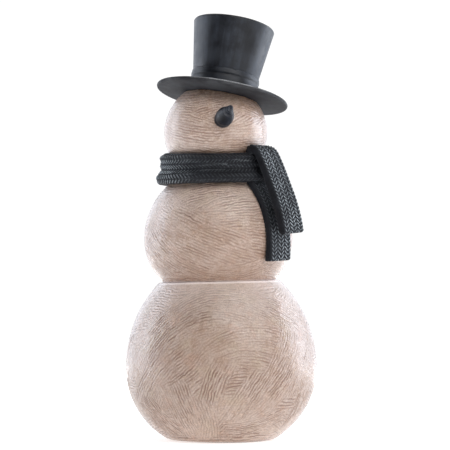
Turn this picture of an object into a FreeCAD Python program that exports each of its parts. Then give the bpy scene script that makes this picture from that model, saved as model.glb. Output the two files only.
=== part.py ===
"""Carved wooden snowman figure, 300 mm tall, as the separate pieces that are turned, carved, drilled and glued.

Three stacked balls on dowels, a tipped top hat of brim, crown and band on its own dowel, a carrot nose on a peg,
and a carved scarf of one loop and two tails on hidden pins.  Millimetres, +Z up, face towards -Y, origin at the
middle of the felt foot's underside.
"""
import FreeCAD, Part
import math
import os

V = FreeCAD.Vector
UP = V(0, 0, 1)
ORIGIN = V(0, 0, 0)

# The whole figure leans a little to its own right on a level base.
LEAN_DEGREES = 1.4

# Lower ball: two half ellipses that share one widest circle.
LOWER_RADIUS = 67.3
LOWER_WIDEST_Z = 50.0
LOWER_RISE = 78.5
LOWER_DROP = 60.0
LOWER_EDGE_ROUND = 2.0

# Middle ball and head.
WAIST_Z = 111.0
MIDDLE_RADIUS = 52.4
MIDDLE_RISE = 52.0
MIDDLE_DROP = 45.0
MIDDLE_Z = 140.8
NECK_Z = 185.4
HEAD_RADIUS = 36.5
HEAD_RISE = 37.4
HEAD_DROP = 33.0
HEAD_Z = 214.7
LOWER_SHOULDER_ROUND = 3.0
JOINT_EDGE = 0.8

# Felt foot, let into the underside.
FELT_RADIUS = 32.0
FELT_THICK = 1.4
FELT_PROUD = 0.4
FELT_GAP = 0.2

# Dowels: radius, length, chamfer and glue flutes; every bore is a little wider and deeper.
WAIST_DOWEL = (8.0, 60.0)
NECK_DOWEL = (6.0, 46.0)
HAT_DOWEL = (5.0, 42.0)
NOSE_PEG = (2.0, 15.0)
TAIL_PIN_RADIUS = 1.5
BORE_GAP = 0.1
BORE_EXTRA_DEPTH = 1.0
DOWEL_CHAMFER = 0.8
FLUTES = 10
FLUTE_RADIUS = 0.45

# Hat, tipped towards the figure's own left and a little back.
HAT_SIDE_TILT = 12.2
HAT_BACK_TILT = 6.6
HAT_SEAT = 25.0
BRIM_RADIUS = 46.9
BRIM_THICK = 3.0
BRIM_BELLY = 1.2
BRIM_BELLY_RADIUS = 27.0
CROWN_HEIGHT = 51.0
CROWN_FOOT_RADIUS = 21.5
CROWN_TOP_RADIUS = 29.2
CROWN_EDGE_ROUND = 2.4
CROWN_DOME = 1.2
CROWN_DOME_FULLNESS = 0.75
BAND_HEIGHT = 14.0
BAND_FOOT_RADIUS = 24.9
BAND_TOP_RADIUS = 24.2
BAND_BEVEL = 0.5

# Nose: a blunt carrot that points up and to the figure's own left.
NOSE_ROOT = V(0.0, -35.7, 8.2)
NOSE_TURN = 7.0
NOSE_LIFT = 18.0
NOSE_LENGTH = 22.5
NOSE_ROOT_RADIUS = 6.3
NOSE_BULGE_RADIUS = 6.6
NOSE_TIP_RADIUS = 1.7
NOSE_SEAT_DEPTH = 2.2
NOSE_COLLAR = 1.6
# Along the nose, as shares of its length, and the radius at its shoulder as a share of the bulge's.
NOSE_BULGE_AT = 0.2
NOSE_SHOULDER_AT = 0.55
NOSE_SHOULDER = 0.62

# Scarf: a loop of three soft folds, off centre towards the side where the tails cross.
TAIL_BEARING = 42.0
LOOP_OFFSET = 2.6
LOOP_BORE = 30.5
LOOP_TOP_Z = 199.6
LOOP_FOOT_Z = 178.0
SCARF_WIDTH = 23.0
FRONT_TAIL_SIDEWAYS = 0.6
BALL_CLEARANCE = 0.1

# Radius and height along each tail's two faces, from the neck down to the hanging end.  The front tail's hook is
# the part that turns over the loop and down behind it.
FRONT_TAIL_OUTER = [(39.8, 204.2), (46.2, 200.8), (50.8, 192.2), (56.0, 179.9), (61.8, 166.2), (65.9, 152.8),
                    (67.7, 142.6)]
FRONT_TAIL_INNER = [(42.6, 198.4), (46.2, 190.4), (50.6, 178.0), (55.9, 164.4), (59.8, 152.0), (61.6, 142.6)]
FRONT_TAIL_HOOK = [(41.0, 198.4), (39.7, 196.6), (39.7, 190.2), (33.7, 190.2), (33.7, 198.7), (35.5, 202.3)]
BACK_TAIL_OUTER = [(38.6, 184.8), (42.2, 177.4), (47.6, 168.4), (52.4, 157.6), (55.2, 146.8), (55.9, 136.0),
                   (55.0, 123.0)]
BACK_TAIL_INNER = [(28.0, 184.8), (33.0, 177.4), (40.0, 168.4), (46.0, 157.6), (49.0, 146.8), (49.6, 136.0),
                   (48.4, 123.0)]
FRONT_PIN_Z = 160.0
FRONT_PIN_REACH = 60.1
BACK_PIN_Z = 132.0
BACK_PIN_REACH = 53.9
PIN_DEPTH_IN_BALL = 12.0


def edge(a, b):
    """Straight edge between two (radius, height) points in the plane of the axis."""
    return Part.makeLine(V(a[0], 0, a[1]), V(b[0], 0, b[1]))


def path(*points):
    """Straight edges through the (radius, height) points, in order."""
    return [edge(a, b) for a, b in zip(points, points[1:])]


def outward(solid):
    """The solid with its faces turned outwards."""
    if solid.Volume < 0:
        solid.reverse()
    return solid


def revolved(edges):
    """Closed outline turned about Z into a solid."""
    return outward(Part.Face(Part.Wire(edges)).revolve(ORIGIN, UP, 360))


def ellipse_arc(radius, half_height, centre_z, z_from, z_to):
    """Quarter-ellipse stretch on the +X side between two heights."""
    centre = V(0, 0, centre_z)
    side, top = V(radius, 0, centre_z), V(0, 0, centre_z + half_height)
    rises = [round((z - centre_z) / half_height, 11) for z in (z_from, z_to)]
    if radius >= half_height:
        curve, angles = Part.Ellipse(side, top, centre), [math.asin(r) for r in rises]
    else:
        curve, angles = Part.Ellipse(top, side, centre), [math.acos(r) for r in rises]
    return Part.ArcOfEllipse(curve, min(angles), max(angles)).toShape()


def ellipse_radius(radius, half_height, centre_z, z):
    """Radius of an ellipse of revolution at a height."""
    return radius * math.sqrt(1 - ((z - centre_z) / half_height) ** 2)


def tilted(shape, direction, at):
    """Shape moved from Z at the origin to a direction at a point."""
    placed = shape.copy()
    placed.Placement = FreeCAD.Placement(at, FreeCAD.Rotation(UP, direction))
    return placed


def direction_of(bearing, lift):
    """Unit vector turned from the face's -Y towards +X by bearing, and raised by lift, in degrees."""
    b, e = math.radians(bearing), math.radians(lift)
    return V(math.sin(b) * math.cos(e), -math.cos(b) * math.cos(e), math.sin(e))


def hat_axis():
    """Unit vector up the middle of the tipped hat."""
    side, back = math.radians(HAT_SIDE_TILT), math.radians(HAT_BACK_TILT)
    return V(math.tan(side), math.tan(back), 1).normalize()


def bore(radius, length):
    """Drill for half a dowel, from just above the surface down to its end gap."""
    depth = length / 2 + BORE_EXTRA_DEPTH
    return Part.makeCylinder(radius + BORE_GAP, depth + 1, V(0, 0, -depth))


def dowel(radius, length):
    """Chamfered dowel centred on the origin, with glue flutes down its side."""
    body = Part.makeCylinder(radius, length, V(0, 0, -length / 2))
    rims = [e for e in body.Edges if e.Closed]
    body = body.makeChamfer(min(DOWEL_CHAMFER, radius / 3), rims)
    cuts = []
    for i in range(FLUTES):
        turn = math.radians(360 / FLUTES * (i + 0.5))
        at = V(radius * math.cos(turn), radius * math.sin(turn), -length / 2 - 1)
        cuts.append(Part.makeCylinder(FLUTE_RADIUS, length + 2, at))
    return body.cut(Part.makeCompound(cuts))


def leaned(shape):
    """Shape tipped from upright to the figure's lean, about the origin."""
    tipped = shape.copy()
    tipped.rotate(ORIGIN, V(0, 1, 0), -LEAN_DEGREES)
    return tipped


def lower_ball():
    """Leaning ball on a level foot, with a felt recess below and the waist dowel's bore above."""
    below = -LOWER_EDGE_ROUND
    foot_radius = ellipse_radius(LOWER_RADIUS, LOWER_DROP, LOWER_WIDEST_Z, below)
    outline = path((0, WAIST_Z), (0, below), (foot_radius, below))
    outline.append(ellipse_arc(LOWER_RADIUS, LOWER_DROP, LOWER_WIDEST_Z, below, LOWER_WIDEST_Z))
    outline.append(ellipse_arc(LOWER_RADIUS, LOWER_RISE, LOWER_WIDEST_Z, LOWER_WIDEST_Z, WAIST_Z))
    top_radius = ellipse_radius(LOWER_RADIUS, LOWER_RISE, LOWER_WIDEST_Z, WAIST_Z)
    outline.append(edge((top_radius, WAIST_Z), (0, WAIST_Z)))
    ball = revolved(outline)
    top = [e for e in ball.Edges if e.Closed and abs(e.BoundBox.ZMin - WAIST_Z) < 0.01]
    ball = ball.makeFillet(LOWER_SHOULDER_ROUND, top)
    ball = leaned(ball.cut(tilted(bore(*WAIST_DOWEL), UP, V(0, 0, WAIST_Z))))
    sole = Part.makeCylinder(LOWER_RADIUS, LOWER_RADIUS, V(0, 0, FELT_PROUD - LOWER_RADIUS))
    ball = ball.cut(sole)
    foot = [e for e in ball.Edges if abs(e.BoundBox.ZMin - FELT_PROUD) < 0.01
            and abs(e.BoundBox.ZMax - FELT_PROUD) < 0.01]
    ball = ball.makeFillet(LOWER_EDGE_ROUND, foot)
    return ball.cut(Part.makeCylinder(FELT_RADIUS + FELT_GAP, FELT_THICK))


def middle_ball():
    """Ball with a flat at each end, bored for the waist and neck dowels, before the tail pins are drilled."""
    foot = ellipse_radius(MIDDLE_RADIUS, MIDDLE_DROP, MIDDLE_Z, WAIST_Z)
    top = ellipse_radius(MIDDLE_RADIUS, MIDDLE_RISE, MIDDLE_Z, NECK_Z)
    outline = path((top, NECK_Z), (0, NECK_Z), (0, WAIST_Z), (foot, WAIST_Z))
    outline.append(ellipse_arc(MIDDLE_RADIUS, MIDDLE_DROP, MIDDLE_Z, WAIST_Z, MIDDLE_Z))
    outline.append(ellipse_arc(MIDDLE_RADIUS, MIDDLE_RISE, MIDDLE_Z, MIDDLE_Z, NECK_Z))
    ball = revolved(outline)
    rim = [e for e in ball.Edges if e.Closed and abs(e.BoundBox.ZMax - WAIST_Z) < 0.01]
    ball = ball.makeFillet(JOINT_EDGE, rim)
    ball = ball.cut(tilted(bore(*WAIST_DOWEL), -UP, V(0, 0, WAIST_Z)))
    return ball.cut(tilted(bore(*NECK_DOWEL), UP, V(0, 0, NECK_Z)))


def head_ball():
    """Ball with a flat under it for the neck and a tipped flat above for the hat, bored for its dowels and nose."""
    foot = ellipse_radius(HEAD_RADIUS, HEAD_DROP, HEAD_Z, NECK_Z)
    outline = path((0, HEAD_Z + HEAD_RISE), (0, NECK_Z), (foot, NECK_Z))
    outline.append(ellipse_arc(HEAD_RADIUS, HEAD_DROP, HEAD_Z, NECK_Z, HEAD_Z))
    outline.append(ellipse_arc(HEAD_RADIUS, HEAD_RISE, HEAD_Z, HEAD_Z, HEAD_Z + HEAD_RISE))
    ball = revolved(outline)
    axis, seat = hat_axis(), hat_seat()
    ball = ball.cut(tilted(Part.makeCylinder(HEAD_RADIUS * 2, HEAD_RADIUS), axis, seat))
    ball = ball.cut(tilted(bore(*HAT_DOWEL), axis, seat))
    ball = ball.cut(tilted(bore(*NECK_DOWEL), -UP, V(0, 0, NECK_Z)))
    root, way = nose_root(), direction_of(NOSE_TURN, NOSE_LIFT)
    seat_drill = Part.makeCylinder(NOSE_ROOT_RADIUS + BORE_GAP, HEAD_RADIUS, V(0, 0, -NOSE_SEAT_DEPTH))
    ball = ball.cut(tilted(seat_drill, way, root))
    return ball.cut(tilted(bore(*NOSE_PEG), way, root - way * NOSE_SEAT_DEPTH))


def hat_seat():
    """Middle of the flat on the head that the brim rests on."""
    return V(0, 0, HEAD_Z) + hat_axis() * HAT_SEAT


def hat_brim():
    """Turned disc with a half-round rim, a slightly thicker middle below and a hole for the hat dowel.

    It is made with the underside of its rim on Z = 0.
    """
    half = BRIM_THICK / 2
    hole, straight = HAT_DOWEL[0] + BORE_GAP, BRIM_RADIUS - half
    rim = Part.Arc(V(straight, 0, 0), V(BRIM_RADIUS, 0, half), V(straight, 0, BRIM_THICK)).toShape()
    outline = path((hole, -BRIM_BELLY), (BRIM_BELLY_RADIUS, -BRIM_BELLY), (straight, 0)) + [rim]
    outline += path((straight, BRIM_THICK), (hole, BRIM_THICK), (hole, -BRIM_BELLY))
    return revolved(outline)


def crown_radius(height):
    """Outside radius of the flaring crown at a height above the brim."""
    return CROWN_FOOT_RADIUS + (CROWN_TOP_RADIUS - CROWN_FOOT_RADIUS) * height / CROWN_HEIGHT


def hat_crown():
    """Flaring crown with a rounded, slightly domed top and a blind bore, standing on Z = 0."""
    wall_top = (CROWN_TOP_RADIUS, CROWN_HEIGHT)
    dome = Part.Arc(V(CROWN_TOP_RADIUS, 0, CROWN_HEIGHT),
                    V(CROWN_TOP_RADIUS / 2, 0, CROWN_HEIGHT + CROWN_DOME * CROWN_DOME_FULLNESS),
                    V(0, 0, CROWN_HEIGHT + CROWN_DOME)).toShape()
    outline = path((0, CROWN_HEIGHT + CROWN_DOME), (0, 0), (CROWN_FOOT_RADIUS, 0), wall_top) + [dome]
    crown = revolved(outline)
    rim = [e for e in crown.Edges if e.Closed and abs(e.BoundBox.ZMin - CROWN_HEIGHT) < 0.01]
    crown = crown.makeFillet(CROWN_EDGE_ROUND, rim)
    depth = HAT_DOWEL[1] / 2 - BRIM_BELLY - BRIM_THICK + BORE_EXTRA_DEPTH
    return crown.cut(Part.makeCylinder(HAT_DOWEL[0] + BORE_GAP, depth))


def hat_band():
    """Band round the crown's foot: its inside follows the flare and its outside stands nearly straight."""
    top = BAND_HEIGHT
    return revolved(path((CROWN_FOOT_RADIUS, 0), (BAND_FOOT_RADIUS, 0), (BAND_TOP_RADIUS, top - BAND_BEVEL),
                         (crown_radius(top), top), (CROWN_FOOT_RADIUS, 0)))


def nose_root():
    """Point where the nose's middle line meets the head's surface."""
    return V(0, 0, HEAD_Z) + NOSE_ROOT


def nose():
    """Carrot turned about Z from its root in the seat to its rounded tip, bored for the peg."""
    bulge_at = NOSE_LENGTH * NOSE_BULGE_AT
    shoulder_at = NOSE_LENGTH * NOSE_SHOULDER_AT
    shoulder = NOSE_BULGE_RADIUS * NOSE_SHOULDER
    tip_at = NOSE_LENGTH - NOSE_TIP_RADIUS
    side = Part.BSplineCurve()
    side.interpolate([V(NOSE_ROOT_RADIUS, 0, NOSE_COLLAR), V(NOSE_BULGE_RADIUS, 0, bulge_at),
                      V(shoulder, 0, shoulder_at), V(NOSE_TIP_RADIUS, 0, tip_at)])
    round_tip = Part.Arc(V(NOSE_TIP_RADIUS, 0, tip_at),
                         V(NOSE_TIP_RADIUS * math.sqrt(0.5), 0, tip_at + NOSE_TIP_RADIUS * math.sqrt(0.5)),
                         V(0, 0, NOSE_LENGTH)).toShape()
    outline = path((0, NOSE_LENGTH), (0, -NOSE_SEAT_DEPTH), (NOSE_ROOT_RADIUS, -NOSE_SEAT_DEPTH),
                   (NOSE_ROOT_RADIUS, NOSE_COLLAR))
    outline += [side.toShape(), round_tip]
    carrot = revolved(outline)
    drill = Part.makeCylinder(NOSE_PEG[0] + BORE_GAP, NOSE_PEG[1] / 2 + BORE_EXTRA_DEPTH,
                              V(0, 0, -NOSE_SEAT_DEPTH))
    return carrot.cut(drill)


def tail_frame(shape):
    """Turns a shape built in the XZ plane so that its X points along the tails' bearing."""
    turned = shape.copy()
    turned.rotate(ORIGIN, UP, TAIL_BEARING - 90)
    return turned


def tail_slab(outer, inner, sideways=0.0, hook=()):
    """Strip between two curved faces given as (radius, height) points, as wide as the scarf."""
    near = sideways - SCARF_WIDTH / 2
    edges = []
    for points in (outer, inner):
        curve = Part.BSplineCurve()
        curve.interpolate([V(r, near, z) for r, z in points])
        edges.append(curve.toShape())
    ends = [[inner[0], *hook, outer[0]], [outer[-1], inner[-1]]]
    for points in ends:
        edges += [Part.makeLine(V(a[0], near, a[1]), V(b[0], near, b[1])) for a, b in zip(points, points[1:])]
    outline = Part.Wire(Part.__sortEdges__(edges))
    return tail_frame(outward(Part.Face(outline).extrude(V(0, SCARF_WIDTH, 0))))


def ball_envelope(gap):
    """The middle ball's whole outline, larger by a gap, for cutting the scarf's seats."""
    radius, rise, drop = MIDDLE_RADIUS + gap, MIDDLE_RISE + gap, MIDDLE_DROP + gap
    outline = [Part.makeLine(V(0, 0, MIDDLE_Z + rise), V(0, 0, MIDDLE_Z - drop)),
               ellipse_arc(radius, drop, MIDDLE_Z, MIDDLE_Z - drop, MIDDLE_Z),
               ellipse_arc(radius, rise, MIDDLE_Z, MIDDLE_Z, MIDDLE_Z + rise)]
    return revolved(outline)


def head_envelope(gap):
    """The head's lower half ellipse, larger by a gap, for cutting the loop's seat."""
    radius, drop = HEAD_RADIUS + gap, HEAD_DROP + gap
    outline = path((radius, HEAD_Z), (0, HEAD_Z), (0, HEAD_Z - drop))
    outline.append(ellipse_arc(radius, drop, HEAD_Z, HEAD_Z - drop, HEAD_Z))
    return revolved(outline)


def scarf_loop(tails):
    """Ring of three soft folds round the neck, seated on both balls, with pockets for the tails' roots."""
    folds = [(31.0, LOOP_TOP_Z), (38.8, LOOP_TOP_Z), (41.6, 197.2), (40.7, 194.6), (41.5, 192.0), (40.7, 188.8),
             (44.5, 183.0), (42.2, LOOP_FOOT_Z), (31.0, LOOP_FOOT_Z)]
    outside = Part.BSplineCurve()
    outside.interpolate([V(r, 0, z) for r, z in folds[1:-1]])
    outline = path(folds[-2], folds[-1], folds[0], folds[1]) + [outside.toShape()]
    ring = revolved(outline)
    ring.translate(tail_bearing() * LOOP_OFFSET)
    height = LOOP_TOP_Z - LOOP_FOOT_Z + 2
    ring = ring.cut(Part.makeCylinder(LOOP_BORE, height, V(0, 0, LOOP_FOOT_Z - 1)))
    ring = ring.cut(ball_envelope(BALL_CLEARANCE)).cut(head_envelope(BALL_CLEARANCE))
    for tail in tails:
        ring = ring.cut(tail)
    return largest_solid(ring)


def largest_solid(shape):
    """The biggest solid of a cut, without the crumbs beside it."""
    return max(shape.Solids, key=lambda s: s.Volume)


def tail_bearing():
    """Unit vector from the axis towards the tails."""
    return direction_of(TAIL_BEARING, 0)


def tail_pin(height, reach):
    """Straight pin from inside the middle ball out to a radius, and the drill for it."""
    half = MIDDLE_RISE if height > MIDDLE_Z else MIDDLE_DROP
    start = ellipse_radius(MIDDLE_RADIUS, half, MIDDLE_Z, height) - PIN_DEPTH_IN_BALL
    length = reach - start
    at = V(0, 0, height) + tail_bearing() * start
    pin = tilted(Part.makeCylinder(TAIL_PIN_RADIUS, length), tail_bearing(), at)
    drill_at = at - tail_bearing() * (BORE_EXTRA_DEPTH / 2)
    drill = Part.makeCylinder(TAIL_PIN_RADIUS + BORE_GAP, length + BORE_EXTRA_DEPTH)
    return pin, tilted(drill, tail_bearing(), drill_at)


def felt_foot():
    """Felt disc let into the underside and standing slightly proud."""
    return Part.makeCylinder(FELT_RADIUS, FELT_THICK)


def build():
    """Every sub-part by name, in place."""
    axis, seat = hat_axis(), hat_seat()
    under_rim = seat + axis * BRIM_BELLY
    on_brim = under_rim + axis * BRIM_THICK
    nose_way = direction_of(NOSE_TURN, NOSE_LIFT)
    front_tail = tail_slab(FRONT_TAIL_OUTER, FRONT_TAIL_INNER, FRONT_TAIL_SIDEWAYS, FRONT_TAIL_HOOK)
    back_tail = largest_solid(tail_slab(BACK_TAIL_OUTER, BACK_TAIL_INNER).cut(ball_envelope(BALL_CLEARANCE)))
    loop = scarf_loop([front_tail, back_tail])
    front_pin, front_drill = tail_pin(FRONT_PIN_Z, FRONT_PIN_REACH)
    back_pin, back_drill = tail_pin(BACK_PIN_Z, BACK_PIN_REACH)
    upright = {
        "waist_dowel": tilted(dowel(*WAIST_DOWEL), UP, V(0, 0, WAIST_Z)),
        "middle_ball": middle_ball().cut(front_drill).cut(back_drill),
        "neck_dowel": tilted(dowel(*NECK_DOWEL), UP, V(0, 0, NECK_Z)),
        "head_ball": head_ball(),
        "hat_dowel": tilted(dowel(*HAT_DOWEL), axis, seat),
        "hat_brim": tilted(hat_brim(), axis, under_rim),
        "hat_crown": tilted(hat_crown(), axis, on_brim),
        "hat_band": tilted(hat_band(), axis, on_brim),
        "nose_peg": tilted(dowel(*NOSE_PEG), nose_way, nose_root() - nose_way * NOSE_SEAT_DEPTH),
        "nose": tilted(nose(), nose_way, nose_root()),
        "scarf_loop": loop,
        "scarf_back_tail": back_tail.cut(front_drill).cut(back_drill),
        "scarf_front_tail": front_tail.cut(front_drill),
        "front_tail_pin": front_pin,
        "back_tail_pin": back_pin,
    }
    pieces = {"felt_foot": felt_foot(), "lower_ball": lower_ball()}
    for name, shape in upright.items():
        pieces[name] = leaned(shape)
    return pieces


def main():
    os.makedirs("parts", exist_ok=True)
    for name, shape in build().items():
        solids = shape.Solids
        print(name, len(solids), "solids", round(shape.Volume, 1), "mm3", "valid" if shape.isValid() else "INVALID")
        shape.exportStep(f"parts/{name}.step")


main()
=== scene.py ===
"""Looks of the carved wooden snowman figure: combed, whitewashed balls, black hat and nose, charcoal scarf.

Shapes are worked out in millimetres, in the figure's own upright frame.  They are then leaned and scaled into
the CAD frame.
"""

import math

import bpy
import numpy as np
from mathutils import Matrix, Vector

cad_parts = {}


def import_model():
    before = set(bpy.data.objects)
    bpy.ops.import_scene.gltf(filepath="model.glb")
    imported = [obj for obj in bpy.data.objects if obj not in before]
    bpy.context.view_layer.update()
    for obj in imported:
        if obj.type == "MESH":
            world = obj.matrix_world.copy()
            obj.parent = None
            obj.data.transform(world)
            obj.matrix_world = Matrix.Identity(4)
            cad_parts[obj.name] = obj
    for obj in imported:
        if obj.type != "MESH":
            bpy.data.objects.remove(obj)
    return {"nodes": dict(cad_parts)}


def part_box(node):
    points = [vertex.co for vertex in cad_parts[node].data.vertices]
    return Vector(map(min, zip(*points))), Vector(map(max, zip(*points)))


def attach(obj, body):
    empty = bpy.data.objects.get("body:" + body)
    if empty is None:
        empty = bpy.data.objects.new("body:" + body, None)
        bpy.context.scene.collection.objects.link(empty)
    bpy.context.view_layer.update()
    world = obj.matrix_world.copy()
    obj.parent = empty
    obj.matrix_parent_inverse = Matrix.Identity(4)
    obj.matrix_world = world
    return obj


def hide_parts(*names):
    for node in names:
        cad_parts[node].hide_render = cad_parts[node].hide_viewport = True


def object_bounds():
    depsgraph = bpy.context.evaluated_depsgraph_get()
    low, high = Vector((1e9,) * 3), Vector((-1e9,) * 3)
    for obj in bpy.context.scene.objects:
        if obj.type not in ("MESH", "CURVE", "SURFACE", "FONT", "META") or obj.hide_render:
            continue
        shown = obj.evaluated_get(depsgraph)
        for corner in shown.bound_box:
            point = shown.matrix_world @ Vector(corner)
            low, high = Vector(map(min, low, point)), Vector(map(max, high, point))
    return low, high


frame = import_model()
cad_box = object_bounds()

MM = 0.001
LEAN = math.radians(1.4)

# Balls, as radius, height above and below the widest circle, and the widest circle's height.
LOWER = dict(radius=67.3, rise=78.5, drop=60.0, z=50.0)
MIDDLE = dict(radius=52.4, rise=52.0, drop=45.0, z=140.8)
HEAD = dict(radius=36.5, rise=37.4, drop=33.0, z=214.7)
WAIST_Z = 111.0
NECK_Z = 185.4
WAIST_BORE = (8.1, 31.0)
NECK_BORE = (6.1, 24.0)
BALL_SPACING = 0.45
SEAM_FADE = 2.2

# Combing: groove pitches, the gap between side strokes, and how far round from the front, in degrees, the
# front's own strokes reach.
LEVEL_PITCH = 2.1
FRONT_PITCH = 1.95
HEAD_PITCH = 1.85
STROKE_GAP = 34
FRONT_REACH = 52

# Felt recess under the lower ball.
FOOT_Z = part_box("lower_ball")[0].z / MM
FELT_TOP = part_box("felt_foot")[1].z / MM
RECESS_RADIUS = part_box("felt_foot")[1].x / MM + 0.2

# Hat.
HAT_AXIS = Vector((math.tan(math.radians(12.2)), math.tan(math.radians(6.6)), 1)).normalized()
HAT_SEAT = Vector((0, 0, HEAD["z"])) + HAT_AXIS * 25.0
BRIM_RADIUS = 46.9
BRIM_THICK = 3.0
BRIM_BELLY = 1.2
BELLY_RADIUS = 27.0
BRIM_BORE = 5.1
CROWN_HEIGHT = 51.0
CROWN_FOOT = 21.5
CROWN_TOP = 29.2
CROWN_SLOPE = (CROWN_TOP - CROWN_FOOT) / CROWN_HEIGHT
BAND_HEIGHT = 14.0
BAND_FOOT = 24.9
BAND_TOP = 24.2

# Nose.
NOSE_ROOT = Vector((0, -35.7, HEAD["z"] + 8.2))
NOSE_TURN = 7.0
NOSE_LIFT = 18.0
NOSE_NOTCHES = ((13.6, 0.18), (16.2, 0.34), (18.4, 0.42), (20.3, 0.30))

# Scarf.
TAIL_BEARING = 42.0
SCARF_WIDTH = 23.0
LOOP_OFFSET = 2.6
LOOP_BORE = 30.6
STITCH = 2.8
HALF_COLUMN = 3.85
SCARF_SPACING = 0.36
LOOP_RADIUS = 42
TAIL_THICK = 6.4

# Bearing that the figure is seen from, in degrees round from -Y towards +X.
FRONT_BEARING = -9.0


# ---------------- random fields

def scramble(x, y, z, seed):
    """Random number in 0..1 for whole-number cell coordinates."""
    n = (x.astype(np.uint32) * np.uint32(73856093)) ^ (y.astype(np.uint32) * np.uint32(19349663))
    n = n ^ (z.astype(np.uint32) * np.uint32(83492791)) ^ np.uint32((seed * 2654435761) % 2 ** 32)
    n = (n ^ (n >> np.uint32(13))) * np.uint32(1274126177)
    n = (n ^ (n >> np.uint32(16))) * np.uint32(2246822519)
    n = n ^ (n >> np.uint32(15))
    return n.astype(np.float64) / 2 ** 32


def noise(points, size, seed=0):
    """Smooth random field in -1..1 with features about size mm across."""
    q = np.asarray(points, float) / size + 1000.5
    cell = np.floor(q).astype(np.int64)
    f = q - cell
    f = f * f * (3 - 2 * f)
    total = np.zeros(q.shape[:-1])
    for i in (0, 1):
        for j in (0, 1):
            for k in (0, 1):
                weight = np.abs(1 - i - f[..., 0]) * np.abs(1 - j - f[..., 1]) * np.abs(1 - k - f[..., 2])
                total += weight * scramble(cell[..., 0] + i, cell[..., 1] + j, cell[..., 2] + k, seed)
    return total * 2 - 1


def rough(points, size, seed=0, octaves=3):
    """Noise with finer and weaker noise added to it."""
    total = np.zeros(np.shape(points)[:-1])
    for i in range(octaves):
        total += noise(points, size / 2 ** i, seed + 31 * i) / 2 ** i
    return total / (2 - 2 ** (1 - octaves))


def ramp(x, low, high):
    """0 below low, 1 above high and smooth between."""
    t = np.clip((x - low) / (high - low), 0, 1)
    return t * t * (3 - 2 * t)


def soft_max(a, b, round_size):
    """The larger of two values, with the corner between them rounded."""
    h = np.maximum(round_size - np.abs(a - b), 0) / round_size
    return np.maximum(a, b) + h * h * round_size / 4


def soft_min(a, b, round_size):
    """The smaller of two values, with the corner between them rounded."""
    return -soft_max(-a, -b, round_size)


# ---------------- meshes

def upright(points):
    """Points of the upright figure, leaned to its own right, in mm."""
    c, s = math.cos(LEAN), math.sin(LEAN)
    x, z = points[..., 0], points[..., 2]
    return np.stack([x * c - z * s, points[..., 1], x * s + z * c], axis=-1)


def bearing_way(bearing, lift=0.0):
    """Unit vector at a bearing round from -Y towards +X, and a lift above level, in degrees."""
    b, e = math.radians(bearing), math.radians(lift)
    return Vector((math.sin(b) * math.cos(e), -math.cos(b) * math.cos(e), math.sin(e)))


def turned(points, axis, origin):
    """Points made about Z, turned to stand along an axis at an origin."""
    turn = np.array(Vector((0, 0, 1)).rotation_difference(Vector(axis)).to_matrix())
    return points @ turn.T + np.array(origin)


def evenly(corners, spacing):
    """Points every spacing mm along straight runs through the corners, each corner included."""
    out = [np.array(corners[0], float)]
    for a, b in zip(corners, corners[1:]):
        a, b = np.array(a, float), np.array(b, float)
        count = max(1, int(round(np.linalg.norm(b - a) / spacing)))
        out += [a + (b - a) * (i + 1) / count for i in range(count)]
    return np.array(out)


def along(curve, spacing):
    """A finely sampled curve, resampled at an even spacing."""
    curve = np.asarray(curve, float)
    steps = np.linalg.norm(np.diff(curve, axis=0), axis=1)
    length = np.concatenate([[0], np.cumsum(steps)])
    wanted = np.linspace(0, length[-1], max(2, int(round(length[-1] / spacing)) + 1))
    return np.stack([np.interp(wanted, length, curve[:, i]) for i in range(curve.shape[1])], axis=1)


def smooth_curve(knots, count=200):
    """Catmull-Rom curve through the knots."""
    k = np.array(knots, float)
    k = np.vstack([2 * k[0] - k[1], k, 2 * k[-1] - k[-2]])
    out = []
    for i in range(1, len(k) - 2):
        t = np.linspace(0, 1, count // (len(k) - 3) + 1)[:, None]
        a, b, c, d = k[i - 1], k[i], k[i + 1], k[i + 2]
        out.append(0.5 * (2 * b + (c - a) * t + (2 * a - 5 * b + 4 * c - d) * t ** 2
                          + (3 * b - a - 3 * c + d) * t ** 3)[:-1])
    return np.vstack(out + [k[-2:-1]])


def swung(profile, around):
    """Grid of points of a (radius, height) profile swung about Z."""
    angle = np.linspace(0, 2 * math.pi, around, endpoint=False)
    r, z = profile[:, 0][:, None], profile[:, 1][:, None]
    return np.stack([r * np.sin(angle), -r * np.cos(angle), z + 0 * angle], axis=-1)


def grid_normals(grid):
    """Outward unit normals of a grid whose rows close on themselves."""
    round_way = np.roll(grid, -1, axis=1) - np.roll(grid, 1, axis=1)
    up_way = np.gradient(grid, axis=0)
    normal = np.cross(round_way, up_way)
    length = np.linalg.norm(normal, axis=-1, keepdims=True)
    return normal / np.maximum(length, 1e-9)


def grid_faces(rows, around, ring=False):
    """Quads over a grid whose rows close on themselves; in a ring, the last row joins the first."""
    i = np.arange(rows if ring else rows - 1)[:, None]
    j = np.arange(around)[None, :]
    up, right = (i + 1) % rows, (j + 1) % around
    quads = np.stack([i * around + j, i * around + right, up * around + right, up * around + j], axis=-1)
    return quads.reshape(-1, 4)


def linked(name, data):
    """An object that holds the data, linked into the scene."""
    obj = bpy.data.objects.new(name, data)
    bpy.context.scene.collection.objects.link(obj)
    return obj


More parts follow.
